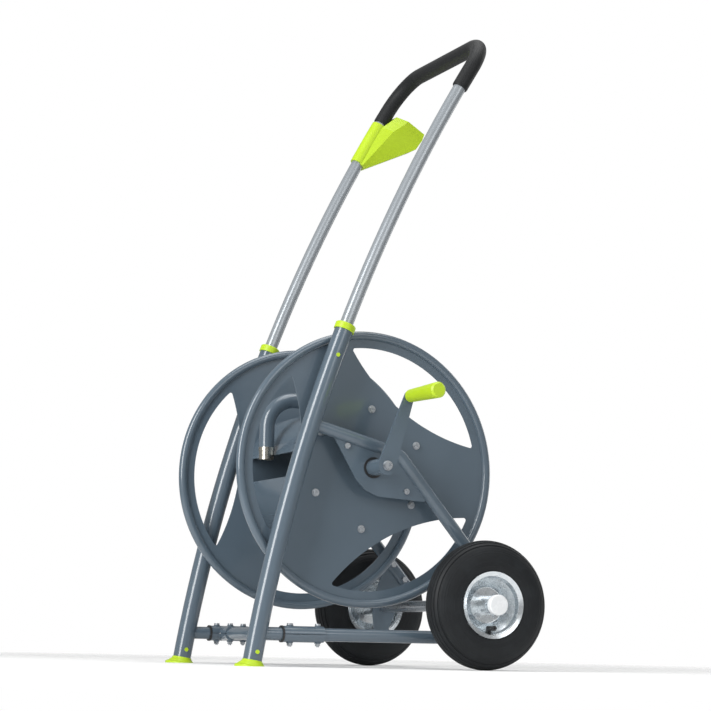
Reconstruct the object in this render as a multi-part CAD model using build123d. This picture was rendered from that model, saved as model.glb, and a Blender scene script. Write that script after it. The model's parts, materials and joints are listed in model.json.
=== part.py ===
from build123d import *
import os
from math import asin, atan2, cos, degrees, radians, sin, sqrt

# Garden hose reel cart, in millimetres, +Z up, +X from the legs towards the wheels.
# The near side (crank) is -Y and the far side (water inlet) is +Y.
# Everything is laid out about the drum's axis (x = 0) and the cart's middle (y = 0).
# The last step moves it so that the origin is the bottom centre of the whole box.

# ---------------------------------------------------------------- overall layout
sideY = 176.0            # middle plane of each side frame
drumAxisZ = 339.0
axleX = 185.0
axleZ = 110.0            # the tyre's radius: the wheels stand on the floor
wheelY = 243.0

# legs and handle share one long arc that leans back over the wheels
legFootX = -213.0
legFootLean = 9.4        # degrees from upright at the floor
legBendRadius = 3050.0
legRadius = 16.0
legWall = 2.0
legStart = 10.0          # arc lengths from the floor
legTop = 592.0

handleRadius = 11.5
handleWall = 1.5
handleLow = 500.0        # lower end of the raised handle, inside the leg
handleTop = 1203.0       # the crossbar's centre line
handleBend = 65.0
slideGap = 0.3           # handle in its collar

gripRadius = 14.3
gripNear = 1092.0
gripFar = 1100.0
gripGap = 0.3            # between the grip and the holster's cup

holsterLow = 1008.0      # the holster's sleeve on the far tube
holsterHigh = 1098.0
holsterWall = 3.0
# levels of the holster's cup, from the sleeve's lower end: height, then the distance from
# the tube and the half width at its tube side, at its crease and at its far end
cupOutside = [
    (-2.0, (1.0, 13.0), (6.0, 16.0), (16.0, 12.0)),
    (86.0, (4.0, 15.2), (24.0, 26.0), (82.0, 21.0)),
    (108.0, (14.0, 16.0), (35.0, 29.0), (84.0, 23.0)),
    (121.0, (19.0, 14.0), (40.0, 29.0), (82.0, 23.0)),
]
cupInside = [
    (20.0, (17.5, 6.0), (19.0, 9.0), (27.0, 8.0)),
    (86.0, (18.0, 13.0), (25.0, 22.0), (79.0, 18.0)),
    (108.0, (19.5, 14.0), (36.0, 25.5), (81.0, 20.0)),
    (122.0, (22.5, 11.5), (40.5, 25.5), (79.0, 20.0)),
]

collarRadius = 18.0
collarHeight = 12.0
collarDepth = 68.0
studRadius = 3.5
studProud = 0.8
collarBevel = [(collarRadius - 1.5, 0.01), (collarRadius + 2.0, 0.01), (collarRadius + 2.0, -3.5)]
collarStudAt = 545.0
footStudAt = 24.0
footFlangeRadius = 28.0
footHeight = 15.0
footDepth = 34.0

# struts, bearing plates and gussets
strutRadius = 11.0
strutWall = 1.5
strutLegZ = 405.0
strutKnee = (48.0, 365.0)
strutEnd = (229.0, 153.0)
strutKneeRadius = 34.0
strutBoltA = 12.0        # from the strut's lower end
strutBoltB = 48.0
gussetThick = 4.0
plateThick = 3.0
plateNut = (-50.0, 35.0)     # bearing bolts, from the drum's axis
plateNutB = (62.5, -38.0)
housingThick = 8.0
housingBossRadius = 18.0
bushGap = 0.05
smallBolt = 3.0          # M6 shank radius

# bottom rails and their clamps
railZ = 54.0
railRadius = 11.0
railWall = 1.5
crossX = -132.5
clampWall = 2.5
clampFront = 27.0        # clamp reach from the cross tube's axis, towards the leg
clampRear = 46.0
clampSide = 44.0
clampSplit = 1.0
clampBolt = 2.5
ringThick = 3.0

# drum
discY = 146.0            # middle of each disc's sheet
discRadius = 238.4
beadRadius = 7.5
beadWall = 1.6
discSheet = 2.0
ringInner = 209.5
cutoutNear = 122.5       # cutout's closest point to the axis
cutoutHalf = 43.0
armAngle = 115.7
coreRadius = 112.0
coreSheet = 2.0
coreHalf = 49.0
tabHalf = 9.0
tabDepth = 18.0
screwCircle = 104.0
screwHalf = 30.0
shaftRadius = 12.5
shaftBore = 8.0
shaftNear = 229.0
shaftFar = 220.0
collarOuter = 18.0
collarReach = 11.0

# feed pipe over the core
pipeRadius = 13.3
pipeBore = 11.0
pipeY = 12.0
pipeRun = 128.0          # bend over the core
pipeStart = armAngle - 63.5
pipeBlend = 24.0
pipeDropBend = 51.0      # bend down to the outlet
pipeDropX = -123.0
pipeEndZ = 381.0
threadRadius = 13.2      # G 3/4 male
threadLength = 16.0
nippleCollar = 14.2
nippleCollarLength = 6.0

# crank
bossRadius = 14.0
armHubRadius = 16.0
armTipRadius = 8.5
armThick = 6.0
armReach = (39.5, 120.5)
knobBase = 11.0
knobTip = 13.5
knobLength = 112.0
knobPin = 4.0
knobGap = 0.1

# inlet swivel
swivelRadius = 19.0
swivelBore = 12.55
swivelDepth = 30.0
elbowRadius = 12.0
elbowDrop = 40.0

# wheels, 2.50-4
tyreRadius = axleZ
tyreHalf = 30.0
tyreWall = 5.5
rimSheet = 2.0
rimLip = 58.0
rimSeat = 50.8
rimFloor = 31.0
hubRadius = 16.0
hubHalf = 40.0
bearingOuter = 14.0
bearingWidth = 12.0
axleRadius = 10.0
axleGap = 0.05
rimBoltCircle = 24.0
rimBolt = 2.5
rimBolts = 4
capRadius = 17.5
valveRadius = 4.0
valveBore = 1.2
valveCircle = 39.0
stemLength = 34.0        # valve stem's tip, from the wheel's middle plane
tubeBase = 60.0          # inner tube: its flat base, half width there, and crown
tubeBaseHalf = 8.0
tubeCrown = 100.5
tubeWall = 2.0

# ---------------------------------------------------------------- small helpers
parts = {}


def keep(name, *solids):
    """Holds the finished solids of one node."""
    found = []
    for solid in solids:
        found += solid.solids()
    parts.setdefault(name, []).extend(found)


def rod(start, end, radius, bore=0.0):
    """A round bar or tube between two points."""
    start = Vector(*start)
    end = Vector(*end)
    plane = Plane(origin=start, z_dir=end - start)
    bar = extrude(plane * Circle(radius), (end - start).length)
    if bore:
        bar -= extrude(plane * Circle(bore), (end - start).length)
    return bar


def alongY(x, z, yFrom, yTo, radius, bore=0.0):
    """A round bar or tube parallel to the Y axis."""
    return rod((x, yFrom, z), (x, yTo, z), radius, bore)


def turned(points, x, z, side=1):
    """Turns a (radius, y) outline about an axis parallel to Y."""
    outline = [(x + r, side * y, z) for r, y in points]
    face = make_face(Polyline(*outline, close=True))
    return revolve(face, Axis((x, 0, z), (0, 1, 0)))


def slab(face2d, yFrom, yTo):
    """Gives an XZ outline its thickness along Y."""
    low = min(yFrom, yTo)
    high = max(yFrom, yTo)
    flat = Plane(origin=(0, high, 0), x_dir=(1, 0, 0), z_dir=(0, -1, 0)) * face2d
    return extrude(flat, high - low)


def hexBlock(x, z, yFrom, yTo, across):
    """A hexagonal block with its axis along Y."""
    return slab(Pos(x, z) * RegularPolygon(across / 2 / cos(radians(30)), 6), yFrom, yTo)


def hexNut(x, z, yFrom, yTo, across, bore):
    """A hexagonal nut with its axis along Y."""
    return hexBlock(x, z, yFrom, yTo, across) - alongY(x, z, yFrom, yTo, bore)


def polar(radius, angle):
    """A point of the drum's XZ plane."""
    return radius * cos(radians(angle)), drumAxisZ + radius * sin(radians(angle))


# the legs' arc: its centre, and the place and direction at any arc length
legCentreX = legFootX + legBendRadius * cos(radians(legFootLean))
legCentreZ = -legBendRadius * sin(radians(legFootLean))


def leanAt(s):
    return radians(legFootLean) + s / legBendRadius


def onArc(s):
    lean = leanAt(s)
    return legCentreX - legBendRadius * cos(lean), legCentreZ + legBendRadius * sin(lean)


def arcPlane(s, y):
    x, z = onArc(s)
    lean = leanAt(s)
    return Plane(origin=(x, y, z), x_dir=(0, 1, 0), z_dir=(sin(lean), 0, cos(lean)))


def arcTube(y, sFrom, sTo, radius, bore=0.0):
    """A tube that follows the legs' arc."""
    section = Circle(radius)
    if bore:
        section -= Circle(bore)
    turn = degrees((sTo - sFrom) / legBendRadius)
    return revolve(arcPlane(sFrom, y) * section, Axis((legCentreX, y, legCentreZ), (0, 1, 0)), turn)


def arcHeight(z):
    """Arc length at which the legs' centre line reaches a height."""
    return (asin((z - legCentreZ) / legBendRadius) - radians(legFootLean)) * legBendRadius


sides = {"near": -1, "far": 1}

# ---------------------------------------------------------------- legs, collars, feet
stubFront = arcHeight(railZ)
stubX = onArc(stubFront)[0]
for name, side in sides.items():
    y = side * sideY
    leg = arcTube(y, legStart, legTop, legRadius)
    stub = rod((stubX, y, railZ), (crossX - railRadius - 1.0, y, railZ), railRadius)
    leg += stub
    leg -= arcTube(y, legStart, legTop, legRadius - legWall)
    leg -= rod((stubX, y, railZ), (crossX, y, railZ), railRadius - railWall)
    for s in (collarStudAt, footStudAt):
        x, z = onArc(s)
        leg -= alongY(x, z, y - legRadius - 1, y + legRadius + 1, studRadius)
    keep(name + "_leg_tube", leg)

    bore = handleRadius + slideGap
    collar = arcTube(y, legTop, legTop + collarHeight, collarRadius, bore)
    collar += arcTube(y, legTop - collarDepth, legTop, legRadius - legWall, bore)
    x, z = onArc(collarStudAt)
    proud = legRadius + studProud
    for out in (-1, 1):
        collar += alongY(x, z, y + out * (bore + 0.6), y + out * proud, studRadius)
    bevel = make_face(Polyline(*[(r, 0, h) for r, h in collarBevel], close=True))
    collar -= arcPlane(legTop + collarHeight, y) * revolve(bevel, Axis.Z)
    keep(name + "_leg_collar", collar)

    # the foot flares from the leg to a flange cut flat by the floor
    x, z = onArc(legStart)
    lean = leanAt(legStart)
    flare = [
        (0, footHeight - legStart - 5.0),
        (legRadius + 0.6, footHeight - legStart - 5.0),
        (legRadius + 2.2, -3.0),
        (footFlangeRadius - 4.0, -8.5),
        (footFlangeRadius, -10.5),
        (footFlangeRadius, -24.0),
        (0, -24.0),
    ]
    face = make_face(Polyline(*[(r, 0, h) for r, h in flare], close=True))
    foot = revolve(face, Axis.Z)
    foot = Plane(origin=(x, y, z), x_dir=(cos(lean), 0, -sin(lean)), z_dir=(sin(lean), 0, cos(lean))) * foot
    foot += arcTube(y, legStart, legStart + footDepth, legRadius - legWall)
    foot -= arcTube(y, legStart + 6, legStart + footDepth, legRadius - legWall - 3.0)
    x, z = onArc(footStudAt)
    for out in (-1, 1):
        foot += alongY(x, z, y + out * (legRadius - legWall - 1.5), y + out * proud, studRadius)
    foot -= Pos(x, y, -50) * Box(200, 200, 100)
    keep(name + "_foot_plug", foot)

# ---------------------------------------------------------------- handle, grip, holster
bendAt = handleTop - handleBend
cornerX, cornerZ = onArc(bendAt)
lean = leanAt(bendAt)
along = Vector(sin(lean), 0, cos(lean))
crossbarY = sideY - handleBend


def handlePath(sNear, sFar):
    """Centre line over the handle's top, from one arc length to the other."""
    points = []
    for s in (sNear, (sNear + bendAt) / 2, bendAt):
        x, z = onArc(s)
        points.append(Vector(x, -sideY, z))
    rise = ThreePointArc(*points)
    corner = Vector(cornerX, 0, cornerZ)
    slant = handleBend * sqrt(0.5)
    bendIn = ThreePointArc(
        points[2],
        corner + Vector(0, -crossbarY - slant, 0) + along * slant,
        corner + Vector(0, -crossbarY, 0) + along * handleBend,
    )
    bar = Line(bendIn @ 1, corner + Vector(0, crossbarY, 0) + along * handleBend)
    bendOut = ThreePointArc(
        bar @ 1,
        corner + Vector(0, crossbarY + slant, 0) + along * slant,
        corner + Vector(0, sideY, 0),
    )
    points = []
    for s in (bendAt, (sFar + bendAt) / 2, sFar):
        x, z = onArc(s)
        points.append(Vector(x, sideY, z))
    fall = ThreePointArc(*points)
    return Wire([rise.edge(), bendIn.edge(), bar.edge(), bendOut.edge(), fall.edge()])


path = handlePath(handleLow, handleLow)
start = arcPlane(handleLow, -sideY)
handle = sweep(start * Circle(handleRadius), path=path)
handle -= sweep(start * Circle(handleRadius - handleWall), path=path)
keep("handle_tube", handle)

path = handlePath(gripNear, gripFar)
start = arcPlane(gripNear, -sideY)
grip = sweep(start * Circle(gripRadius), path=path)
grip -= sweep(start * Circle(handleRadius), path=path)
keep("handle_grip", grip)

# a holster for the spray nozzle: a cup with flat sides, open at its top, beside a sleeve
cupLean = leanAt(holsterLow)
cupX, cupZ = onArc(holsterLow)
cupBase = Plane(
    origin=(cupX, sideY, cupZ),
    x_dir=(cos(cupLean), 0, -sin(cupLean)),
    z_dir=(sin(cupLean), 0, cos(cupLean)),
)


def cup(levels):
    """A solid with flat sides through the corners of each level."""
    faces = []
    for height, *corners in levels:
        mirrored = [(reach, -half) for reach, half in reversed(corners)]
        outline = make_face(Polyline(*corners, *mirrored, close=True))
        faces.append((cupBase * Pos(0, 0, height) * outline).face())
    return loft(faces, ruled=True)


holster = arcTube(sideY, holsterLow, holsterHigh, handleRadius + holsterWall)
holster += cup(cupOutside)
holster -= cup(cupInside)
holster -= arcTube(sideY, holsterLow - 10, holsterHigh + 40, handleRadius)
holster -= arcTube(sideY, gripFar, holsterHigh + 40, gripRadius + gripGap)
keep("nozzle_holster", holster)

# ---------------------------------------------------------------- struts and bearing plates
strutLegX = onArc(arcHeight(strutLegZ))[0]
endVector = Vector(strutEnd[0] - strutKnee[0], 0, strutEnd[1] - strutKnee[1]).normalized()
boltSpots = []
for back in (strutBoltA, strutBoltB):
    boltSpots.append((strutEnd[0] - endVector.X * back, strutEnd[1] - endVector.Z * back))
axleSpot = (axleX, axleZ)
railEnd = (axleX - 8.0, railZ)


def hull(spots):
    """A flat plate round a set of (x, z, radius) discs."""
    edges = []
    for x, z, radius in spots:
        edges += (Pos(x, z, 0) * Circle(radius)).edges()
    return make_hull(edges)


for name, side in sides.items():
    y = side * sideY
    line = FilletPolyline(
        (strutLegX, y, strutLegZ + 4.0),
        (strutKnee[0], y, strutKnee[1]),
        (strutEnd[0], y, strutEnd[1]),
        radius=strutKneeRadius,
    )
    begin = Plane(origin=line @ 0, z_dir=line % 0)
    solidStrut = sweep(begin * Circle(strutRadius), path=line)
    strut = solidStrut - sweep(begin * Circle(strutRadius - strutWall), path=line)
    strut -= arcTube(y, legStart, legTop, legRadius)

    gusset = slab(
        hull([(*boltSpots[0], 12.0), (*boltSpots[1], 12.0), (*axleSpot, 24.0), (*railEnd, 10.0)]),
        y - gussetThick / 2,
        y + gussetThick / 2,
    )
    gusset -= alongY(axleX, axleZ, y - 10, y + 10, axleRadius)
    strut -= gusset
    bolts = []
    for x, z in boltSpots:
        hole = alongY(x, z, y - 20, y + 20, smallBolt)
        strut -= hole
        gusset -= hole
        headY = y + side * strutRadius
        bolt = alongY(x, z, y - side * (strutRadius + 4.0), headY, smallBolt)
        bolt += alongY(x, z, headY, headY + side * 3.5, 5.5)
        bolt -= hexBlock(x, z, headY + side * 1.5, headY + side * 4.0, 4.0)
        bolts.append(bolt)
        seat = y - side * strutRadius
        bolts.append(hexNut(x, z, seat, seat - side * 4.5, 10.0, smallBolt))
    keep("strut_foot_bolts", *bolts)
    keep(name + "_strut_tube", strut)

    # side rail, slotted over the gusset at its rear end
    rail = rod((crossX + railRadius + 1.0, y, railZ), (axleX, y, railZ), railRadius, railRadius - railWall)
    rail -= gusset
    keep(name + "_side_rail", rail)
    keep(name + "_axle_gusset", gusset)

    # triangular bearing plate, nested under the strut's knee
    outer = y + side * plateThick / 2
    inner = y - side * plateThick / 2
    topAngle = atan2(strutKnee[1] - strutLegZ - 4.0, strutKnee[0] - strutLegX)
    cornerA = (-76.0, strutKnee[1] + (-76.0 - strutKnee[0]) * sin(topAngle) / cos(topAngle))
    cornerC = (strutKnee[0] + endVector.X * 92.0, strutKnee[1] + endVector.Z * 92.0)
    edge = Polyline(
        (cornerA[0] + 3.0, cornerA[1] - 12.0),
        (-31.0, drumAxisZ - 22.0),
        (-14.0, drumAxisZ - 39.0),
        (9.0, drumAxisZ - 48.5),
        (cornerC[0] - 12.0, drumAxisZ - 54.0),
    )
    outline = make_face(
        [
            Line((cornerA[0], cornerA[1]), strutKnee),
            Line(strutKnee, cornerC),
            Line(cornerC, (cornerC[0] - 12.0, drumAxisZ - 54.0)),
            Line((cornerA[0] + 3.0, cornerA[1] - 12.0), cornerA),
        ]
        + list(edge.edges())
    )
    rounded = outline.vertices().filter_by(lambda v: -60 < v.X < 12 and v.Y < drumAxisZ)
    outline = fillet(rounded, 16.0)
    plate = slab(outline, inner, outer)
    plate -= solidStrut
    plate -= alongY(0, drumAxisZ, y - 10, y + 10, housingBossRadius)

    # bearing housing bolted behind the plate, with a boss through it
    innerFace = inner - side * housingThick
    lozenge = hull([(0, 0, 26.0), (*plateNut, 10.0), (*plateNutB, 10.0)])
    housing = slab(Pos(0, drumAxisZ) * lozenge, inner, innerFace)
    housing += alongY(0, drumAxisZ, innerFace, outer + side * 1.0, housingBossRadius)
    housing -= alongY(0, drumAxisZ, y - 30, y + 30, shaftRadius + bushGap)
    housing -= sweep(begin * Circle(strutRadius + 0.5), path=line)
    bolts = []
    for dx, dz in (plateNut, plateNutB):
        z = drumAxisZ + dz
        hole = alongY(dx, z, y - 30, y + 30, smallBolt - 0.5)
        plate -= hole
        housing -= hole
        bolt = alongY(dx, z, innerFace - side * 4.0, outer, smallBolt - 0.5)
        bolt += alongY(dx, z, outer, outer + side * 3.0, 5.0)
        bolt -= hexBlock(dx, z, outer + side * 1.2, outer + side * 4.0, 3.5)
        bolts.append(bolt)
        bolts.append(hexNut(dx, z, innerFace, innerFace - side * 4.0, 8.5, smallBolt - 0.5))
    keep("bearing_plate_bolts", *bolts)
    keep(name + "_bearing_plate", plate.solids().sort_by(SortBy.VOLUME)[-1])
    keep(name + "_bearing_housing", housing)

# ---------------------------------------------------------------- front clamps and cross tube
cross = rod((crossX, -sideY + railRadius + 1.0, railZ), (crossX, sideY - railRadius - 1.0, railZ),
            railRadius, railRadius - railWall)
for name, side in sides.items():
    y = side * sideY
    rearX = crossX + clampRear
    frontX = crossX - clampFront
    sideEnd = y - side * clampSide
    sleeve = rod((frontX, y, railZ), (rearX, y, railZ), railRadius + clampWall)
    sleeve += rod((crossX, y, railZ), (crossX, sideEnd, railZ), railRadius + clampWall)
    bore = rod((frontX - 1, y, railZ), (rearX + 1, y, railZ), railRadius)
    bore += rod((crossX, y, railZ), (crossX, sideEnd - side, railZ), railRadius)
    sleeve -= bore
    spots = [
        (frontX + 13.0, y),
        (rearX - 9.0, y),
        (crossX, y - side * (clampSide - 12.0)),
    ]
    bolts = []
    reach = railRadius + clampWall
    for x, spotY in spots:
        sleeve -= rod((x, spotY, railZ - 30), (x, spotY, railZ + 30), clampBolt)
        pads = rod((x, spotY, railZ + reach - 1.5), (x, spotY, railZ + reach + 1.5), 5.5, clampBolt)
        pads += rod((x, spotY, railZ - reach - 1.5), (x, spotY, railZ - reach + 1.5), 5.5, clampBolt)
        sleeve += pads - bore
        cross -= rod((x, spotY, railZ - 30), (x, spotY, railZ + 30), clampBolt)
        top = railZ + reach + 1.5
        bottom = railZ - reach - 1.5
        bolt = rod((x, spotY, bottom - 6.0), (x, spotY, top), clampBolt)
        bolt += rod((x, spotY, top), (x, spotY, top + 3.0), 4.8)
        bolts.append(bolt)
        nut = Pos(x, spotY, bottom - 4.0) * extrude(RegularPolygon(4.6, 6) - Circle(clampBolt), 4.0)
        bolts.append(nut)
    for label in (name + "_leg_tube", name + "_side_rail"):
        drilled = parts[label][0]
        for x, spotY in spots[:2]:
            drilled -= rod((x, spotY, railZ - 16), (x, spotY, railZ + 16), clampBolt)
        parts[label] = drilled.solids()
    keep("clamp_bolts", *bolts)
    half = Box(400, 400, 200, align=(Align.CENTER, Align.CENTER, Align.MIN))
    upper = sleeve & (Pos(crossX, y, railZ + clampSplit / 2) * half)
    lower = sleeve & (Pos(crossX, y, railZ - clampSplit / 2) * Rot(180, 0, 0) * half)
    keep(name + "_clamp_upper", upper)
    keep(name + "_clamp_lower", lower)
    ring = rod((frontX - ringThick, y, railZ), (frontX, y, railZ), railRadius + clampWall + 0.6, railRadius)
    keep("clamp_rings", ring)
keep("front_cross_tube", cross)

# ---------------------------------------------------------------- axle
axleEnd = wheelY + hubHalf + 6.0
axle = alongY(axleX, axleZ, -axleEnd, axleEnd, axleRadius)
groove = axleEnd - 3.0
clips = []
for side in (-1, 1):
    axle -= alongY(axleX, axleZ, side * (groove - 1.3), side * groove, axleRadius + 2, axleRadius - 1.2)
    clips.append(alongY(axleX, axleZ, side * (groove - 1.3), side * groove, axleRadius + 4, axleRadius - 1.2))
    inner = wheelY - hubHalf
    clips.append(alongY(axleX, axleZ, side * (inner - 6.0), side * (inner - 0.5), axleRadius + 5, axleRadius))
keep("wheel_axle", axle)
keep("axle_clips_and_spacers", *clips)

# ---------------------------------------------------------------- drum discs
halfChord = ringInner * sin(radians(cutoutHalf))
rise = ringInner * cos(radians(cutoutHalf)) - cutoutNear
cutoutArc = (halfChord**2 + rise**2) / (2 * rise)
beadCentre = discRadius - beadRadius
for name, side in sides.items():
    y = side * discY
    sheetRadius = beadCentre - beadRadius + 1.0
    sheet = alongY(0, drumAxisZ, y - discSheet / 2, y + discSheet / 2, sheetRadius, shaftRadius)
    for turn in (0, 120, 240):
        mid = armAngle - 60 + turn
        x, z = polar(cutoutNear + cutoutArc, mid)
        lens = alongY(0, drumAxisZ, y - 5, y + 5, ringInner)
        lens = lens & alongY(x, z, y - 5, y + 5, cutoutArc)
        corners = lens.edges().filter_by(Axis.Y)
        lens = fillet(corners, 4.0)
        sheet -= lens
    # the rim is the sheet's edge curled into a bead, open by a slot on the drum's side
    plane = Plane(origin=(beadCentre, y, drumAxisZ), x_dir=(1, 0, 0), z_dir=(0, 0, 1))
    curl = Circle(beadRadius) - Circle(beadRadius - beadWall)
    slot = Pos(-beadRadius, -side * 3.6) * Rectangle(7.0, 2.0)
    bead = revolve(plane * (curl - slot), Axis((0, 0, drumAxisZ), (0, 1, 0)))
    disc = sheet + bead
    collar = alongY(0, drumAxisZ, y, y + side * collarReach, collarOuter, shaftRadius)
    disc += collar
    for k in range(3):
        for turn in (-screwHalf, screwHalf):
            x, z = polar(screwCircle, armAngle + 120 * k + turn)
            disc -= alongY(x, z, y - 5, y + 5, smallBolt)
            outer = y + side * discSheet / 2
            inside = y - side * (discSheet / 2 + coreSheet)
            screw = alongY(x, z, inside - side * 8.0, outer + side * 1.4, smallBolt)
            screw += alongY(x, z, outer + side * 1.4, outer + side * 4.0, 4.6)
            screw -= hexBlock(x, z, outer + side * 2.2, outer + side * 5.0, 4.0)
            washer = alongY(x, z, outer, outer + side * 1.4, 6.6, smallBolt)
            nut = hexNut(x, z, inside, inside - side * 5.0, 10.0, smallBolt)
            keep("drum_screws", screw, washer, nut)
    keep(name + "_drum_disc", disc)

# ---------------------------------------------------------------- core shells
coreEnd = discY - discSheet / 2
for k in range(3):
    mid = armAngle + 120 * k
    shell = alongY(0, drumAxisZ, -coreEnd, coreEnd, coreRadius, coreRadius - coreSheet)
    for side in (-1, 1):
        shell += alongY(0, drumAxisZ, side * coreEnd, side * (coreEnd - coreSheet), coreRadius - 0.5,
                        coreRadius - tabDepth)
    far = 400.0
    ax, az = polar(far, mid - coreHalf)
    bx, bz = polar(far, mid)
    cx, cz = polar(far, mid + coreHalf)
    wedge = make_face(Polyline((0, drumAxisZ), (ax, az), (bx, bz), (cx, cz), close=True))
    shell = shell & slab(wedge, -coreEnd, coreEnd)
    # the end flange is cut back to one tab at each screw
    for side in (-1, 1):
        for lowA, highA in (
            (-coreHalf - 1, -screwHalf - tabHalf),
            (-screwHalf + tabHalf, screwHalf - tabHalf),
            (screwHalf + tabHalf, coreHalf + 1),
        ):
            px, pz = polar(far, mid + lowA)
            qx, qz = polar(far, mid + highA)
            notch = make_face(Polyline((0, drumAxisZ), (px, pz), (qx, qz), close=True))
            cut = slab(notch, side * coreEnd, side * (coreEnd - coreSheet))
            coreInside = coreRadius - coreSheet
            cut = cut & alongY(0, drumAxisZ, side * coreEnd, side * (coreEnd - coreSheet), coreInside)
            shell -= cut
        for turn in (-screwHalf, screwHalf):
            x, z = polar(screwCircle, mid + turn)
            shell -= alongY(x, z, side * (coreEnd - 10), side * (coreEnd + 1), smallBolt)
    keep("core_shell_" + "abc"[k], shell)

# ---------------------------------------------------------------- shaft, feed pipe, nipple
blendAngle = degrees(asin(pipeBlend / (pipeRun - pipeBlend)))
runFrom = pipeStart + blendAngle
radialEnd = (pipeRun - pipeBlend) * cos(radians(blendAngle))


def atPipe(radius, angle):
    x, z = polar(radius, angle)
    return Vector(x, pipeY, z)


centreX, centreZ = polar(pipeRun - pipeBlend, runFrom)
midTurn = (pipeStart - 90 + runFrom) / 2
blendMid = Vector(
    centreX + pipeBlend * cos(radians(midTurn)), pipeY, centreZ + pipeBlend * sin(radians(midTurn))
)
line1 = Line(atPipe(0, 0), atPipe(radialEnd, pipeStart))
arc1 = ThreePointArc(line1 @ 1, blendMid, atPipe(pipeRun, runFrom))
arc2 = ThreePointArc(arc1 @ 1, atPipe(pipeRun, (runFrom + 90) / 2), atPipe(pipeRun, 90))
topZ = drumAxisZ + pipeRun
dropFrom = pipeDropX + pipeDropBend
line2 = Line(arc2 @ 1, (dropFrom, pipeY, topZ))
slant = pipeDropBend * (1 - sqrt(0.5))
arc3 = ThreePointArc(
    line2 @ 1, (pipeDropX + slant, pipeY, topZ - slant), (pipeDropX, pipeY, topZ - pipeDropBend)
)
line3 = Line(arc3 @ 1, (pipeDropX, pipeY, pipeEndZ))
route = Wire([line1.edge(), arc1.edge(), arc2.edge(), line2.edge(), arc3.edge(), line3.edge()])
begin = Plane(origin=line1 @ 0, z_dir=line1 % 0)
pipe = sweep(begin * Circle(pipeRadius), path=route)
pipe -= sweep(begin * Circle(pipeBore), path=route)
pipe -= alongY(0, drumAxisZ, pipeY - 30, pipeY + 30, shaftRadius)
keep("feed_pipe", pipe.solids().sort_by(SortBy.VOLUME)[-1])

collarEnd = pipeEndZ - nippleCollarLength
nippleEnd = collarEnd - threadLength
nipple = rod((pipeDropX, pipeY, pipeEndZ), (pipeDropX, pipeY, collarEnd), nippleCollar)
nipple += rod((pipeDropX, pipeY, collarEnd), (pipeDropX, pipeY, nippleEnd), threadRadius)
nipple -= rod((pipeDropX, pipeY, pipeEndZ), (pipeDropX, pipeY, nippleEnd), pipeBore - 1.5)
keep("outlet_nipple", nipple)

shaft = alongY(0, drumAxisZ, -shaftNear, shaftFar, shaftRadius)
shaft -= alongY(0, drumAxisZ, pipeY - 25, shaftFar, shaftBore)
shaft -= rod(atPipe(0, 0), atPipe(shaftRadius + 2, pipeStart), pipeBore - 2.0)
shaft -= alongY(0, drumAxisZ, -shaftNear, -shaftNear + 30, 4.0)
for k in range(2):
    y = shaftFar - 6.0 - 9.0 * k
    shaft -= alongY(0, drumAxisZ, y - 1.5, y + 1.5, shaftRadius + 2, shaftRadius - 2.2)
    keep("swivel_seals", alongY(0, drumAxisZ, y - 1.4, y + 1.4, shaftRadius - 0.1, shaftRadius - 2.2))
keep("drum_shaft", shaft)

# ---------------------------------------------------------------- inlet swivel on the far end
swivelFrom = shaftFar - 22.0
swivelTo = swivelFrom + swivelDepth
swivel = alongY(0, drumAxisZ, swivelFrom + 6.0, swivelTo, swivelRadius)
swivel += alongY(0, drumAxisZ, swivelFrom + 1.0, swivelFrom + 6.0, swivelRadius - 2.5)
elbowY = swivelTo - elbowRadius - 1.0
swivel += rod((0, elbowY, drumAxisZ), (0, elbowY, drumAxisZ - elbowDrop), elbowRadius)
swivel += rod((0, elbowY, drumAxisZ - elbowDrop + 8), (0, elbowY, drumAxisZ - elbowDrop), nippleCollar)
dropEnd = drumAxisZ - elbowDrop - threadLength
swivel += rod((0, elbowY, drumAxisZ - elbowDrop), (0, elbowY, dropEnd), threadRadius)
swivel -= alongY(0, drumAxisZ, swivelFrom, shaftFar + 0.5, swivelBore)
swivel -= alongY(0, drumAxisZ, swivelFrom, elbowY + 7.0, shaftBore)
swivel -= rod((0, elbowY, drumAxisZ), (0, elbowY, dropEnd), shaftBore - 0.5)
keep("inlet_swivel", swivel)

# ---------------------------------------------------------------- crank
bossFrom = sideY + plateThick / 2 + 1.0 + 0.5
keep("crank_spacer", alongY(0, drumAxisZ, -bossFrom, -shaftNear, bossRadius, shaftRadius))
knobX = armReach[0]
knobZ = drumAxisZ + armReach[1]
armOut = shaftNear + armThick
arm = slab(hull([(0, drumAxisZ, armHubRadius), (knobX, knobZ, armTipRadius)]), -shaftNear, -armOut)
arm -= alongY(0, drumAxisZ, -armOut, -shaftNear, 5.0)
arm -= alongY(knobX, knobZ, -armOut, -shaftNear, knobPin)
keep("crank_arm", arm)
screw = alongY(0, drumAxisZ, -armOut - 1.5, -shaftNear + 28.0, 4.0)
screw += alongY(0, drumAxisZ, -armOut - 1.5, -armOut - 6.5, 7.0)
screw -= hexBlock(0, drumAxisZ, -armOut - 3.5, -armOut - 8.0, 6.0)
washer = alongY(0, drumAxisZ, -armOut, -armOut - 1.5, 8.5, 4.0)
keep("crank_screw", screw, washer)

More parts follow.
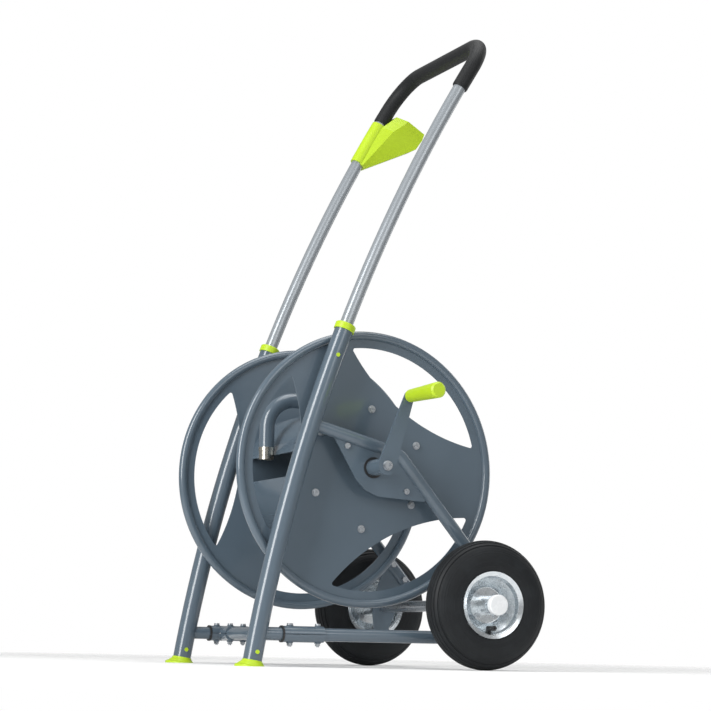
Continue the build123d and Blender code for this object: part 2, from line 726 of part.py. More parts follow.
knobFrom = armOut + 1.0
knobTo = knobFrom + knobLength
pin = alongY(knobX, knobZ, -shaftNear + 2.0, -(knobTo - 12.0), knobPin)
pin += alongY(knobX, knobZ, -shaftNear + 2.0, -shaftNear, knobPin + 2.5)
pin += alongY(knobX, knobZ, -(knobTo - 12.0), -(knobTo - 9.0), knobPin + 2.5)
keep("knob_pin", pin)
outline = [
    (0, knobFrom),
    (knobBase - 2.0, knobFrom),
    (knobBase, knobFrom + 2.5),
    (knobTip, knobTo - 3.0),
    (knobTip - 3.0, knobTo),
    (0, knobTo),
]
knob = turned(outline, knobX, knobZ, -1)
knob -= alongY(knobX, knobZ, -knobFrom, -(knobTo - 12.0 - 0.3), knobPin + knobGap)
knob -= alongY(knobX, knobZ, -(knobTo - 12.0 - 0.3), -(knobTo - 8.5), knobPin + 3.0)
keep("crank_knob", knob)

# ---------------------------------------------------------------- wheels
valveZ = axleZ - valveCircle


def tubeOutline(inset):
    """The inner tube's section, or its hollow: (radius, offset from the wheel's middle plane)."""
    half = tubeBaseHalf - inset / 2
    base = tubeBase + inset
    flat = Line((base, -half), (base, half))
    return make_face([flat, ThreePointArc((base, half), (tubeCrown - inset, 0), (base, -half))])


for name, side in sides.items():
    axis = Axis((axleX, 0, axleZ), (0, 1, 0))

    def spin(face):
        plane = Plane(origin=(axleX, side * wheelY, axleZ), x_dir=(1, 0, 0), z_dir=(0, 0, side))
        return revolve(plane * face, axis)

    # tyre section: (radius, offset from the wheel's middle plane)
    crown = tyreRadius
    bead = rimSeat
    outer = [
        Line((bead, 24.5), (rimLip - 1.0, 27.5)),
        ThreePointArc((rimLip - 1.0, 27.5), (78.0, tyreHalf), (97.0, 24.0)),
        ThreePointArc((97.0, 24.0), (crown, 0), (97.0, -24.0)),
        ThreePointArc((97.0, -24.0), (78.0, -tyreHalf), (rimLip - 1.0, -27.5)),
        Line((rimLip - 1.0, -27.5), (bead, -24.5)),
    ]
    inner = [
        Line((bead, -24.5), (bead, -17.0)),
        Line((bead, -17.0), (60.0, -20.0)),
        ThreePointArc((60.0, -20.0), (80.0, -tyreHalf + tyreWall), (93.0, -17.0)),
        ThreePointArc((93.0, -17.0), (crown - tyreWall - 2.0, 0), (93.0, 17.0)),
        ThreePointArc((93.0, 17.0), (80.0, tyreHalf - tyreWall), (60.0, 20.0)),
        Line((60.0, 20.0), (bead, 17.0)),
        Line((bead, 17.0), (bead, 24.5)),
    ]
    tyre = spin(make_face(outer + inner))
    for offset in (-19.0, -13.0, -6.5, 0.0, 6.5, 13.0, 19.0):
        depth = crown - 13.0 * (offset / 24.0) ** 2
        tyre -= spin(Pos(depth, offset) * Circle(1.3))
    keep(name + "_tyre", tyre)

    # each rim half: floor disc, cone, bead seat and rolled lip
    for label, facing in (("outer", 1), ("inner", -1)):
        points = [
            (hubRadius - 1.0, facing * 1.0),
            (rimFloor, facing * 1.0),
            (rimSeat - 4.0, facing * 19.0),
            (rimSeat - 1.0, facing * 26.2),
            (rimLip - 1.0, facing * 29.0),
        ]
        middle = FilletPolyline(*points, radius=2.5)
        rim = spin(trace(middle, line_width=rimSheet))
        hubEnd = side * (wheelY + facing * hubHalf)
        rim += alongY(axleX, axleZ, side * wheelY, hubEnd, hubRadius)
        rim -= alongY(axleX, axleZ, side * wheelY, hubEnd, bearingOuter)
        for k in range(rimBolts):
            a = radians(45 + 90 * k)
            x = axleX + rimBoltCircle * cos(a)
            z = axleZ + rimBoltCircle * sin(a)
            rim -= alongY(x, z, side * (wheelY - 5), side * (wheelY + 5), rimBolt)
        if facing == 1:
            rim -= alongY(axleX, valveZ, side * wheelY, side * (wheelY + 30), valveRadius)
        keep(name + "_rim_" + label, rim)
    bolts = []
    for k in range(rimBolts):
        a = radians(45 + 90 * k)
        x = axleX + rimBoltCircle * cos(a)
        z = axleZ + rimBoltCircle * sin(a)
        out = side * (wheelY + rimSheet)
        back = side * (wheelY - rimSheet)
        bolt = alongY(x, z, back - side * 6.0, out, rimBolt)
        bolt += hexBlock(x, z, out, out + side * 3.5, 8.0)
        bolts.append(bolt)
        bolts.append(hexNut(x, z, back, back - side * 4.0, 8.0, rimBolt))
    keep(name + "_rim_bolts", *bolts)

    inside = side * (wheelY - hubHalf)
    outside = side * (wheelY + hubHalf)
    bearings = []
    for end, way in ((inside, side), (outside, -side)):
        bore = axleRadius + axleGap
        bearings.append(alongY(axleX, axleZ, end, end + way * bearingWidth, bearingOuter, bore))
    keep(name + "_hub_bearings", *bearings)
    cap = alongY(axleX, axleZ, outside, outside + side * 10.0, capRadius)
    cap = fillet(cap.edges().sort_by(Axis.Y)[-1 if side > 0 else 0], 2.5)
    cap -= alongY(axleX, axleZ, outside, outside + side * 7.5, axleRadius + 5.0)
    keep(name + "_hub_cap", cap)

    # inner tube, with a bent valve stem out through the rim's cone
    tube = spin(tubeOutline(0)) - spin(tubeOutline(tubeWall))
    middle = side * wheelY
    baseZ = axleZ - tubeBase
    tube += rod((axleX, middle, baseZ - 1.0), (axleX, middle, valveZ), valveRadius - 1.0)
    stemTop = side * (wheelY + stemLength)
    tube += alongY(axleX, valveZ, side * (wheelY - 3.0), stemTop, valveRadius)
    tube -= rod((axleX, middle, baseZ - tubeWall - 1.0), (axleX, middle, valveZ), valveBore)
    tube -= alongY(axleX, valveZ, middle, stemTop, valveBore)
    keep(name + "_inner_tube", tube)

# ---------------------------------------------------------------- shift and write
boxes = [solid.bounding_box() for group in parts.values() for solid in group]
lowX = min(box.min.X for box in boxes)
highX = max(box.max.X for box in boxes)
lowY = min(box.min.Y for box in boxes)
highY = max(box.max.Y for box in boxes)
lowZ = min(box.min.Z for box in boxes)
highZ = max(box.max.Z for box in boxes)
shift = Location((-(lowX + highX) / 2, -(lowY + highY) / 2, -lowZ))
print("box", highX - lowX, highY - lowY, highZ - lowZ, "shift", shift.position)
os.makedirs("parts", exist_ok=True)
for name, group in parts.items():
    placed = [solid.moved(shift) for solid in group]
    export_step(Compound(children=placed), "parts/" + name + ".step")
print(len(parts), "nodes")
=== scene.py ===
import bpy
import bmesh
import json
from math import atan2, cos, pi, radians, sin
from mathutils import Matrix, Vector


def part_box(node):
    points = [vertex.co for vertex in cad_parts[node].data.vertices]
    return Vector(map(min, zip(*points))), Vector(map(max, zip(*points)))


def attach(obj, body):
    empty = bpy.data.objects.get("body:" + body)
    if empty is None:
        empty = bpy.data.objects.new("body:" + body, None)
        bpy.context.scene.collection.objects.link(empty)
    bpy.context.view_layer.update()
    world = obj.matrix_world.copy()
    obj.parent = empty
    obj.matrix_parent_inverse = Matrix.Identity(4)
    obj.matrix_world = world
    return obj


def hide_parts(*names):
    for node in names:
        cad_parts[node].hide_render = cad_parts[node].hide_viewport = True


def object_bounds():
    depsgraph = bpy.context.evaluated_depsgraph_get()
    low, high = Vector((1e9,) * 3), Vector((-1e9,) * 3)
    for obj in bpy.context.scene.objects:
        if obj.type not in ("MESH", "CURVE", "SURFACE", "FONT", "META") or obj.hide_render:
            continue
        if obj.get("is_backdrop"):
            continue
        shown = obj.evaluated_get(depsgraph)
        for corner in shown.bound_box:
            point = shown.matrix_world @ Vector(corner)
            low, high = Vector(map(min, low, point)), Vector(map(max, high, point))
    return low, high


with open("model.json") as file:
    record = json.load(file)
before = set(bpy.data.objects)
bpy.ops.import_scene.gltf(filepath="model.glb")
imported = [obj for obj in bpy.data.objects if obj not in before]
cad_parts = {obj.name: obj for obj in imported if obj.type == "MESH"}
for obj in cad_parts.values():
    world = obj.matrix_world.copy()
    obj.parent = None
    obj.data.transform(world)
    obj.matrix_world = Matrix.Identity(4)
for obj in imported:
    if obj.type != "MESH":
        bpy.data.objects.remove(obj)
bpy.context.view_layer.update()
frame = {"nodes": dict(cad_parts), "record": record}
nodes = frame["nodes"]
record = frame["record"]
scene = bpy.context.scene
print("frame loaded:", len(nodes), "nodes")

# ---- studio: camera, floor, lights

cameraValues = {
    "place": (-1.5515, -3.5581, 0.0398),   # metres
    "heading": 23.567,                     # degrees from +Y towards +X
    "rise": 7.507,
    "roll": 1.233,
    "lens": 110.85,
    "sensor": 36.0,
}
lightValues = {
    # name: (place, aimed at, width, height, watts)
    "leftWindow": ((-2.6, -1.2, 1.5), (0.0, 0.0, 0.5), 1.2, 2.4, 88.0),
    "frontFill": ((0.6, -3.6, 1.9), (0.0, 0.0, 0.5), 2.2, 1.4, 24.0),
    "rightRim": ((2.8, 0.8, 1.3), (0.1, 0.0, 0.5), 0.9, 2.2, 12.0),
    "overhead": ((0.2, -0.2, 3.0), (0.0, 0.0, 0.3), 2.2, 2.2, 44.0),
}
worldStrength = 0.34
floorSize = 6.0
floorFade = (1.1, 2.2)    # metres from the middle: solid inside, gone outside


def placeCamera(values):
    heading, rise, roll = (radians(values[key]) for key in ("heading", "rise", "roll"))
    forward = Vector((sin(heading) * cos(rise), cos(heading) * cos(rise), sin(rise)))
    right = forward.cross(Vector((0, 0, 1))).normalized()
    up = right.cross(forward)
    rolledRight = right * cos(roll) + up * sin(roll)
    rolledUp = up * cos(roll) - right * sin(roll)
    turn = Matrix((rolledRight, rolledUp, -forward)).transposed()
    data = bpy.data.cameras.new("mainCamera")
    data.lens = values["lens"]
    data.sensor_width = values["sensor"]
    camera = bpy.data.objects.new("mainCamera", data)
    scene.collection.objects.link(camera)
    camera.matrix_world = Matrix.Translation(values["place"]) @ turn.to_4x4()
    data.clip_start = 0.05
    data.clip_end = 100.0
    scene.camera = camera


def linear(code, alpha=1.0):
    # sRGB hex to the linear values that shaders use
    values = [int(code[i:i + 2], 16) / 255 for i in (0, 2, 4)]
    return tuple(v / 12.92 if v <= 0.04045 else ((v + 0.055) / 1.055) ** 2.4 for v in values) + (alpha,)


def addNode(tree, kind, settings=None, links=None):
    # settings are inputs by name or number, or the node's own properties; links feed inputs
    node = tree.nodes.new(kind)
    for key, value in (settings or {}).items():
        if isinstance(key, str) and key not in node.inputs:
            setattr(node, key, value)
    for key, value in (settings or {}).items():
        if isinstance(key, int) or key in node.inputs:
            node.inputs[key].default_value = value
    for key, source in (links or {}).items():
        tree.links.new(source, node.inputs[key])
    return node


def newMaterial(name):
    material = bpy.data.materials.new(name)
    material.use_nodes = True
    tree = material.node_tree
    tree.nodes.clear()
    return material, tree


placeCamera(cameraValues)
for name, (place, aim, width, height, watts) in lightValues.items():
    data = bpy.data.lights.new(name, "AREA")
    data.shape = "RECTANGLE"
    data.size = width
    data.size_y = height
    data.energy = watts
    lamp = bpy.data.objects.new(name, data)
    scene.collection.objects.link(lamp)
    lamp.location = place
    lamp.rotation_mode = "QUATERNION"
    lamp.rotation_quaternion = (Vector(aim) - Vector(place)).to_track_quat("-Z", "Y")

world = bpy.data.worlds.new("studio")
scene.world = world
world.use_nodes = True
world.node_tree.nodes.clear()
sky = addNode(world.node_tree, "ShaderNodeBackground", {"Color": linear("ffffff"), "Strength": worldStrength})
seen = addNode(world.node_tree, "ShaderNodeBackground", {"Color": linear("ffffff"), "Strength": 1.0})
rays = addNode(world.node_tree, "ShaderNodeLightPath")    # the camera sees plain white
both = addNode(world.node_tree, "ShaderNodeMixShader", links={
    0: rays.outputs["Is Camera Ray"], 1: sky.outputs[0], 2: seen.outputs[0]})
addNode(world.node_tree, "ShaderNodeOutputWorld", links={"Surface": both.outputs[0]})
scene.view_settings.view_transform = "Standard"

# plain pale floor, matt painted board
floorMaterial, tree = newMaterial("mattWhiteFloor")
shader = addNode(tree, "ShaderNodeBsdfPrincipled", {"Base Color": linear("f4f4f4"), "Roughness": 0.9})
clear = addNode(tree, "ShaderNodeBsdfTransparent")
place = addNode(tree, "ShaderNodeTexCoord").outputs["Object"]
away = addNode(tree, "ShaderNodeVectorMath", {"operation": "LENGTH"}, {0: place})
fade = addNode(tree, "ShaderNodeMapRange", {"From Min": floorFade[0], "From Max": floorFade[1]},
               {"Value": away.outputs["Value"]})
board = addNode(tree, "ShaderNodeMixShader", links={
    0: fade.outputs[0], 1: shader.outputs[0], 2: clear.outputs[0]})
addNode(tree, "ShaderNodeOutputMaterial", links={"Surface": board.outputs[0]})
mesh = bpy.data.meshes.new("floor")
half = floorSize / 2
mesh.from_pydata([(-half, -half, 0), (half, -half, 0), (half, half, 0), (-half, half, 0)], [], [(0, 1, 2, 3)])
floor = bpy.data.objects.new("floor", mesh)
scene.collection.objects.link(floor)
mesh.materials.append(floorMaterial)
floor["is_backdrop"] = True
print("studio ready")

# ---- materials

# grain sizes are in millimetres; "mottle" varies the colour, "smudge" the roughness
finishes = {
    # powder coat on steel, sprayed and baked: even dark grey, faint orange peel, soft highlights
    "powderCoatedSteel": {
        "colour": "566470", "second": "515f6a", "mottle": 60.0, "roughness": (0.20, 0.26), "smudge": 35.0,
        "bump": 2.2, "bumpDepth": 0.004, "metallic": 0.0, "ior": 1.5, "coat": 0.5, "coatRoughness": 0.08,
    },
    # silver-grey metallic lacquer on drawn steel tube: bright narrow highlight, grey turning edge
    "silverGreyLacquer": {
        "colour": "9aa0a5", "second": "949a9f", "mottle": 45.0, "roughness": (0.26, 0.32), "smudge": 30.0,
        "bump": 9.0, "bumpDepth": 0.002, "metallic": 0.3, "ior": 1.5, "coat": 0.35, "coatRoughness": 0.14,
    },
    # moulded polypropylene in lime: slightly waxy, broad satin highlight, a trace of flow marks
    "limePolypropylene": {
        "colour": "b6d324", "second": "aecb1c", "mottle": 30.0, "roughness": (0.34, 0.44), "smudge": 18.0,
        "bump": 0.7, "bumpDepth": 0.010, "metallic": 0.0, "ior": 1.49, "subsurface": 0.08,
    },
    # matt black moulded rubber, for washers and stems
    "mouldedRubber": {
        "colour": "1e1f20", "second": "262728", "mottle": 8.0, "roughness": (0.50, 0.62), "smudge": 9.0,
        "bump": 0.6, "bumpDepth": 0.02, "metallic": 0.0, "ior": 1.52,
    },
    # glass-filled nylon, moulded: dry black with a fine even grain
    "mouldedNylon": {
        "colour": "1d1e20", "second": "242527", "mottle": 12.0, "roughness": (0.42, 0.5), "smudge": 12.0,
        "bump": 0.5, "bumpDepth": 0.012, "metallic": 0.0, "ior": 1.53,
    },
    # white ABS, moulded and polished: clean and bright with a tight highlight
    "whiteAbs": {
        "colour": "e9ebec", "second": "e2e5e7", "mottle": 14.0, "roughness": (0.22, 0.3), "smudge": 12.0,
        "bump": 0.8, "bumpDepth": 0.004, "metallic": 0.0, "ior": 1.54, "coat": 0.3, "coatRoughness": 0.1,
    },
    # nickel-plated brass, turned: pale silver with a trace of warmth
    "nickelPlatedBrass": {
        "colour": "c9c6bc", "second": "bcb8ad", "mottle": 9.0, "roughness": (0.22, 0.32), "smudge": 7.0,
        "bump": 3.0, "bumpDepth": 0.003, "metallic": 1.0,
    },
    # bright zinc plate on cold-headed fasteners: cool silver, slightly cloudy
    "brightZincPlate": {
        "colour": "c3c7cb", "second": "b2b8be", "mottle": 4.0, "roughness": (0.24, 0.38), "smudge": 3.0,
        "bump": 0.4, "bumpDepth": 0.008, "metallic": 1.0,
    },
    # ground bearing steel: darker and smooth
    "groundSteel": {
        "colour": "9b9fa3", "second": "8d9195", "mottle": 5.0, "roughness": (0.2, 0.3), "smudge": 4.0,
        "bump": 0.3, "bumpDepth": 0.004, "metallic": 1.0,
    },
}


def solidFinish(name, values):
    material, tree = newMaterial(name)
    place = addNode(tree, "ShaderNodeTexCoord").outputs["Object"]
    mottle = addNode(tree, "ShaderNodeTexNoise", {"Scale": 1000 / values["mottle"], "Detail": 3.0},
                     {"Vector": place})
    colour = addNode(tree, "ShaderNodeMix", {"data_type": "RGBA", 6: linear(values["colour"]),
                                             7: linear(values["second"])}, {0: mottle.outputs[0]})
    smudge = addNode(tree, "ShaderNodeTexNoise", {"Scale": 1000 / values["smudge"], "Detail": 4.0},
                     {"Vector": place})
    low, high = values["roughness"]
    rough = addNode(tree, "ShaderNodeMapRange", {
        "From Min": 0.3, "From Max": 0.7, "To Min": low, "To Max": high}, {"Value": smudge.outputs[0]})
    grain = addNode(tree, "ShaderNodeTexNoise", {"Scale": 1000 / values["bump"], "Detail": 2.0},
                    {"Vector": place})
    bump = addNode(tree, "ShaderNodeBump", {"Strength": 1.0, "Distance": values["bumpDepth"] * 0.001},
                   {"Height": grain.outputs[0]})
    settings = {"Metallic": values["metallic"]}
    if "ior" in values:
        settings["IOR"] = values["ior"]
    if "coat" in values:
        settings["Coat Weight"] = values["coat"]
        settings["Coat Roughness"] = values["coatRoughness"]
    if "subsurface" in values:
        settings["Subsurface Weight"] = values["subsurface"]
        settings["Subsurface Radius"] = (1.0, 1.0, 0.3)
        settings["Subsurface Scale"] = 0.002
    shader = addNode(tree, "ShaderNodeBsdfPrincipled", settings, {
        "Base Color": colour.outputs[2], "Roughness": rough.outputs[0], "Normal": bump.outputs[0]})
    addNode(tree, "ShaderNodeOutputMaterial", links={"Surface": shader.outputs[0]})
    return material


def foamFinish(name):
    # closed-cell foam sleeve, extruded: a dull black skin with fine open pores and a soft sheen
    material, tree = newMaterial(name)
    place = addNode(tree, "ShaderNodeTexCoord").outputs["Object"]
    cells = addNode(tree, "ShaderNodeTexVoronoi", {"Scale": 1000 / 1.1}, {"Vector": place})
    lumps = addNode(tree, "ShaderNodeTexNoise", {"Scale": 1000 / 14.0, "Detail": 3.0}, {"Vector": place})
    colour = addNode(tree, "ShaderNodeMix", {"data_type": "RGBA", 6: linear("0f1112"), 7: linear("1c1e20")},
                     {0: lumps.outputs[0]})
    rough = addNode(tree, "ShaderNodeMapRange", {"To Min": 0.48, "To Max": 0.66}, {"Value": lumps.outputs[0]})
    pores = addNode(tree, "ShaderNodeBump", {"Strength": 0.8, "Distance": 0.00006},
        {"Height": cells.outputs[0]})
    swell = addNode(tree, "ShaderNodeBump", {"Strength": 0.6, "Distance": 0.0004},
                    {"Height": lumps.outputs[0], "Normal": pores.outputs[0]})
    shader = addNode(tree, "ShaderNodeBsdfPrincipled", {
        "IOR": 1.5, "Specular IOR Level": 0.3, "Sheen Weight": 0.05, "Sheen Roughness": 0.5,
    }, {
        "Base Color": colour.outputs[2], "Roughness": rough.outputs[0], "Normal": swell.outputs[0]})
    addNode(tree, "ShaderNodeOutputMaterial", links={"Surface": shader.outputs[0]})
    return material


def tyreFinish(name):
    # carbon-black tyre rubber, vulcanised in a mould: blue-black, matt, with a trace of dust
    material, tree = newMaterial(name)
    place = addNode(tree, "ShaderNodeTexCoord").outputs["Object"]
    dust = addNode(tree, "ShaderNodeTexNoise", {"Scale": 1000 / 26.0, "Detail": 5.0}, {"Vector": place})
    share = addNode(tree, "ShaderNodeMapRange", {"From Min": 0.45, "From Max": 0.8},
        {"Value": dust.outputs[0]})
    colour = addNode(tree, "ShaderNodeMix", {"data_type": "RGBA", 6: linear("14171a"), 7: linear("1d2124")},
                     {0: share.outputs[0]})
    grain = addNode(tree, "ShaderNodeTexNoise", {"Scale": 1000 / 1.0, "Detail": 3.0}, {"Vector": place})
    rough = addNode(tree, "ShaderNodeMapRange", {"To Min": 0.46, "To Max": 0.62}, {"Value": dust.outputs[0]})
    bump = addNode(tree, "ShaderNodeBump", {"Strength": 0.7, "Distance": 0.00004},
        {"Height": grain.outputs[0]})
    shader = addNode(tree, "ShaderNodeBsdfPrincipled", {"IOR": 1.52, "Specular IOR Level": 0.28}, {
        "Base Color": colour.outputs[2], "Roughness": rough.outputs[0], "Normal": bump.outputs[0]})
    addNode(tree, "ShaderNodeOutputMaterial", links={"Surface": shader.outputs[0]})
    return material


def galvanisedFinish(name):
    # hot-dip galvanised pressed steel: pale spangles a few millimetres wide, bright but cloudy
    material, tree = newMaterial(name)
    place = addNode(tree, "ShaderNodeTexCoord").outputs["Object"]
    spangle = addNode(tree, "ShaderNodeTexVoronoi", {"Scale": 1000 / 5.0, "Randomness": 1.0},
        {"Vector": place})
    grey = addNode(tree, "ShaderNodeSeparateColor", links={"Color": spangle.outputs["Color"]})
    cloud = addNode(tree, "ShaderNodeTexNoise", {"Scale": 1000 / 22.0, "Detail": 4.0}, {"Vector": place})
    colour = addNode(tree, "ShaderNodeMix", {"data_type": "RGBA", 6: linear("d4dade"), 7: linear("dee3e6")},
                     {0: grey.outputs[0]})
    rough = addNode(tree, "ShaderNodeMapRange", {"To Min": 0.22, "To Max": 0.28}, {"Value": grey.outputs[1]})
    bump = addNode(tree, "ShaderNodeBump", {"Strength": 0.25, "Distance": 0.0001},
        {"Height": cloud.outputs[0]})
    shader = addNode(tree, "ShaderNodeBsdfPrincipled", {"Metallic": 1.0}, {
        "Base Color": colour.outputs[2], "Roughness": rough.outputs[0], "Normal": bump.outputs[0]})
    addNode(tree, "ShaderNodeOutputMaterial", links={"Surface": shader.outputs[0]})
    return material


made = {name: solidFinish(name, values) for name, values in finishes.items()}
made["closedCellFoam"] = foamFinish("closedCellFoam")
made["tyreRubber"] = tyreFinish("tyreRubber")
made["galvanisedSteel"] = galvanisedFinish("galvanisedSteel")
slotFinish = {
    "powder_coat_grey": "powderCoatedSteel",
    "handle_silver_grey": "silverGreyLacquer",
    "lime_plastic": "limePolypropylene",
    "grip_foam": "closedCellFoam",
    "black_rubber": "mouldedRubber",
    "tyre_rubber": "tyreRubber",
    "galvanised_steel": "galvanisedSteel",
    "zinc_fastener": "brightZincPlate",
    "bearing_steel": "groundSteel",
    "plated_brass": "nickelPlatedBrass",
    "black_nylon": "mouldedNylon",
    "cap_white": "whiteAbs",
}
for row in record["subparts"]:
    node = nodes[row["node"]]
    node.data.materials.clear()
    node.data.materials.append(made[slotFinish[row["material_slot"]]])
print("materials ready:", len(made))

# ---- foam grip, swept over the handle's bends

gripValues = {
    "arcRadius": 3.05,      # the legs' and handle's common arc
    "footLean": 9.4,        # degrees from upright where the arc meets the floor
    "nearEnd": 1.092,       # arc lengths from the floor
    "farEnd": 1.100,
    "bendStart": 1.138,
    "bendRadius": 0.065,
    "radius": 0.0143,
    "endRound": 0.0035,
    "sides": 40,
    "step": 0.002,          # spacing of the path's points down each side
    "bendSteps": 32,
    "barSteps": 60,
}


def sweepTree(name):
    # a round skin along a curve, its thickness following the curve's own radius
    tree = bpy.data.node_groups.new(name, "GeometryNodeTree")
    tree.interface.new_socket("Path", in_out="INPUT", socket_type="NodeSocketGeometry")
    tree.interface.new_socket("Radius", in_out="INPUT", socket_type="NodeSocketFloat")
    tree.interface.new_socket("Sides", in_out="INPUT", socket_type="NodeSocketInt")
    tree.interface.new_socket("Finish", in_out="INPUT", socket_type="NodeSocketMaterial")
    tree.interface.new_socket("Skin", in_out="OUTPUT", socket_type="NodeSocketGeometry")
    start = addNode(tree, "NodeGroupInput")
    ring = addNode(tree, "GeometryNodeCurvePrimitiveCircle", links={
        "Radius": start.outputs["Radius"], "Resolution": start.outputs["Sides"]})
    thickness = addNode(tree, "GeometryNodeInputRadius")
    skin = addNode(tree, "GeometryNodeCurveToMesh", {"Fill Caps": True}, {
        "Curve": start.outputs["Path"], "Profile Curve": ring.outputs["Curve"],
        "Scale": thickness.outputs[0]})
    smooth = addNode(tree, "GeometryNodeSetShadeSmooth", links={"Geometry": skin.outputs[0]})
    real = addNode(tree, "GeometryNodeRealizeInstances", links={"Geometry": smooth.outputs[0]})
    finish = addNode(tree, "GeometryNodeSetMaterial", links={
        "Geometry": real.outputs[0], "Material": start.outputs["Finish"]})
    addNode(tree, "NodeGroupOutput", links={"Skin": finish.outputs[0]})
    return tree


def runTree(source, tree, inputs, name):
    # adds the tree to an object, sets its inputs, and takes the result as a plain mesh
    modifier = source.modifiers.new("shape", "NODES")
    modifier.node_group = tree
    for item in tree.interface.items_tree:
        if item.in_out == "INPUT" and item.name in inputs:
            modifier[item.identifier] = inputs[item.name]
    source.update_tag()
    graph = bpy.context.evaluated_depsgraph_get()
    mesh = bpy.data.meshes.new_from_object(source.evaluated_get(graph))
    source.modifiers.remove(modifier)
    bpy.data.objects.remove(source)
    mesh.name = name
    tidy = bmesh.new()
    tidy.from_mesh(mesh)
    bmesh.ops.remove_doubles(tidy, verts=tidy.verts, dist=0.000002)
    bmesh.ops.recalc_face_normals(tidy, faces=tidy.faces)
    tidy.to_mesh(mesh)
    tidy.free()
    piece = bpy.data.objects.new(name, mesh)
    scene.collection.objects.link(piece)
    return piece


def curveObject(name, points, thickness, cyclic=False):
    data = bpy.data.curves.new(name, "CURVE")
    data.dimensions = "3D"
    spline = data.splines.new("POLY")
    spline.points.add(len(points) - 1)
    for spot, point, size in zip(spline.points, points, thickness):
        spot.co = (*point, 1.0)
        spot.radius = size
    spline.use_cyclic_u = cyclic
    curve = bpy.data.objects.new(name, data)
    scene.collection.objects.link(curve)
    return curve


def gripPath(values):
    slide = next(joint for joint in record["behaviour"]["joints"] if joint["name"] == "handle_slide")
    centreX, middleY, centreZ = slide["pos_m"]
    low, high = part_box("handle_grip")
    reach = (high.y - low.y) / 2 - values["radius"]
    lean = radians(values["footLean"])

    def onArc(s, y):
        angle = lean + s / values["arcRadius"]
        return Vector((centreX - values["arcRadius"] * cos(angle), middleY + y,
                       centreZ + values["arcRadius"] * sin(angle)))

    angle = lean + values["bendStart"] / values["arcRadius"]
    up = Vector((sin(angle), 0, cos(angle)))
    corner = onArc(values["bendStart"], 0)
    bend = values["bendRadius"]
    step = values["step"]
    bendSteps = values["bendSteps"]
    barSteps = values["barSteps"]
    points = []
    count = int((values["bendStart"] - values["nearEnd"]) / step)
    for k in range(count):
        points.append(onArc(values["nearEnd"] + step * k, -reach))
    for k in range(bendSteps + 1):
        turn = k / bendSteps * pi / 2
        points.append(corner + Vector((0, -reach + bend * (1 - cos(turn)), 0)) + up * bend * sin(turn))
    straight = reach - bend
    for k in range(1, barSteps):
        points.append(corner + Vector((0, -straight + 2 * straight * k / barSteps, 0)) + up * bend)
    for k in range(bendSteps + 1):
        turn = k / bendSteps * pi / 2
        points.append(corner + Vector((0, reach - bend * (1 - sin(turn)), 0)) + up * bend * cos(turn))
    count = int((values["bendStart"] - values["farEnd"]) / step)
    for k in range(1, count + 1):
        points.append(onArc(values["bendStart"] - step * k, reach))
    return points


def roundedEnds(points, values):
    # thickness along the path, eased in over the last few millimetres at each end
    sizes = []
    for k, point in enumerate(points):
        end = min((point - points[0]).length, (point - points[-1]).length, values["endRound"])
        drop = 1 - end / values["endRound"]
        sizes.append(1 - 0.13 * drop * drop)
    return sizes


points = gripPath(gripValues)
source = curveObject("gripRoute", points, roundedEnds(points, gripValues))
grip = runTree(source, sweepTree("foamSleeve"), {
    "Radius": gripValues["radius"],
    "Sides": gripValues["sides"],
    "Finish": made["closedCellFoam"],
}, "foam_grip")
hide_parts("handle_grip")
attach(grip, "handle")
print("grip ready")

# ---- tyres, a ribbed section carried round the wheel

tyreValues = {
    "radius": 0.110,
    "half": 0.030,
    "beadRadius": 0.0508,
    # grooves across the tread, from the middle plane
    "ribs": (-0.0215, -0.0155, -0.0095, -0.0033, 0.0033, 0.0095, 0.0155, 0.0215),
    "grooveDepth": 0.0017,
    "grooveHalf": 0.0011,
    "sideRings": (0.066, 0.0735, 0.0885, 0.0925),   # raised rings on the wall, by radius
    "ringHeight": 0.0006,
    "ringHalf": 0.0008,
    "shoulder": (0.097, 0.024),     # (radius, offset) where the tread meets the wall
    "wallFoot": (0.057, 0.0275),
    "wallBulge": 0.078,             # radius where the wall is widest
    "crownFocus": 0.080,            # grooves sink towards this radius
    "beadEdges": (0.0245, 0.017),   # the bead's outer and inner offsets
    "insideFoot": (0.060, 0.020),
    "insideTop": 0.1020,
    "steps": 180,
}


def arcThrough(a, b, c, steps):
    # points along the circle through three points, from the first to the last
    (ax, ay), (bx, by), (cx, cy) = a, b, c
    d = 2 * (ax * (by - cy) + bx * (cy - ay) + cx * (ay - by))
    squares = [x * x + y * y for x, y in (a, b, c)]
    ux = (squares[0] * (by - cy) + squares[1] * (cy - ay) + squares[2] * (ay - by)) / d
    uy = (squares[0] * (cx - bx) + squares[1] * (ax - cx) + squares[2] * (bx - ax)) / d
    size = ((ax - ux) ** 2 + (ay - uy) ** 2) ** 0.5
    first = atan2(ay - uy, ax - ux)
    middle = (atan2(by - uy, bx - ux) - first) % (2 * pi)
    last = (atan2(cy - uy, cx - ux) - first) % (2 * pi)
    if middle > last:
        last -= 2 * pi
    return [(ux + size * cos(first + last * k / steps), uy + size * sin(first + last * k / steps))
            for k in range(steps + 1)]


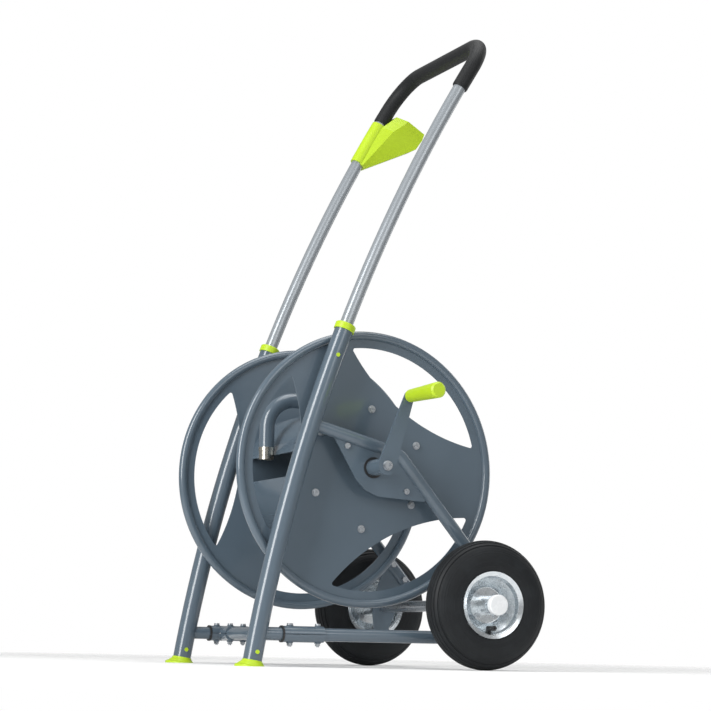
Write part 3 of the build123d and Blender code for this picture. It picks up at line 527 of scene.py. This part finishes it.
def tyreSection(values):
    # closed outline of (radius, offset from the wheel's middle plane)
    shoulder = values["shoulder"]
    focus = values["crownFocus"]
    bead = values["beadRadius"]
    beadOut, beadIn = values["beadEdges"]
    footRadius, footOffset = values["insideFoot"]
    wall = arcThrough(values["wallFoot"], (values["wallBulge"], values["half"]), shoulder, 60)
    crown = arcThrough(shoulder, (values["radius"], 0.0), (shoulder[0], -shoulder[1]), 150)
    shaped = []
    for radius, offset in wall:
        lift = 0.0
        for ring in values["sideRings"]:
            away = abs(radius - ring) / values["ringHalf"]
            if away < 1:
                lift = values["ringHeight"] * (1 - away * away)
        shaped.append((radius, offset + lift * 0.6))
    for radius, offset in crown[1:-1]:
        sink = 0.0
        for rib in values["ribs"]:
            away = abs(offset - rib) / values["grooveHalf"]
            if away < 1:
                sink = values["grooveDepth"] * (1 - away ** 4)
        length = ((radius - focus) ** 2 + offset ** 2) ** 0.5
        shaped.append((radius - sink * (radius - focus) / length, offset - sink * offset / length))
    shaped += [(radius, -offset) for radius, offset in reversed(shaped[:len(wall)])]
    inside = arcThrough((footRadius, -footOffset), (values["insideTop"], 0.0), (footRadius, footOffset), 40)
    return shaped + [(bead, -beadOut), (bead, -beadIn)] + inside + [(bead, beadIn), (bead, beadOut)]


smallCircle = 0.001     # the section is carried round this, so it starts that much short


def ringTree(name):
    # carries a closed section round a circle that lies in the wheel's plane
    tree = bpy.data.node_groups.new(name, "GeometryNodeTree")
    tree.interface.new_socket("Section", in_out="INPUT", socket_type="NodeSocketGeometry")
    tree.interface.new_socket("Steps", in_out="INPUT", socket_type="NodeSocketInt")
    tree.interface.new_socket("Hub", in_out="INPUT", socket_type="NodeSocketVector")
    tree.interface.new_socket("Finish", in_out="INPUT", socket_type="NodeSocketMaterial")
    tree.interface.new_socket("Ring", in_out="OUTPUT", socket_type="NodeSocketGeometry")
    start = addNode(tree, "NodeGroupInput")
    circle = addNode(tree, "GeometryNodeCurvePrimitiveCircle", {"Radius": smallCircle}, {
        "Resolution": start.outputs["Steps"]})
    ring = addNode(tree, "GeometryNodeCurveToMesh", links={
        "Curve": circle.outputs["Curve"], "Profile Curve": start.outputs["Section"]})
    place = addNode(tree, "GeometryNodeTransform", {"Rotation": (pi / 2, 0, 0)}, {
        "Geometry": ring.outputs[0], "Translation": start.outputs["Hub"]})
    smooth = addNode(tree, "GeometryNodeSetShadeSmooth", links={"Geometry": place.outputs[0]})
    real = addNode(tree, "GeometryNodeRealizeInstances", links={"Geometry": smooth.outputs[0]})
    finish = addNode(tree, "GeometryNodeSetMaterial", links={
        "Geometry": real.outputs[0], "Material": start.outputs["Finish"]})
    addNode(tree, "NodeGroupOutput", links={"Ring": finish.outputs[0]})
    return tree


tyreTree = ringTree("carriedSection")
section = tyreSection(tyreValues)
for side in ("near", "far"):
    low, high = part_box(side + "_tyre")
    hub = (low + high) / 2
    outline = [(radius - smallCircle, offset, 0.0) for radius, offset in section]
    source = curveObject(side + "TyreSection", outline, [1.0] * len(outline), cyclic=True)
    tyre = runTree(source, tyreTree, {
        "Steps": tyreValues["steps"], "Hub": hub, "Finish": made["tyreRubber"]}, side + "_ribbed_tyre")
    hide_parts(side + "_tyre")
    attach(tyre, side + "_wheel")
print("tyres ready")

bpy.context.view_layer.update()
low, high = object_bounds()
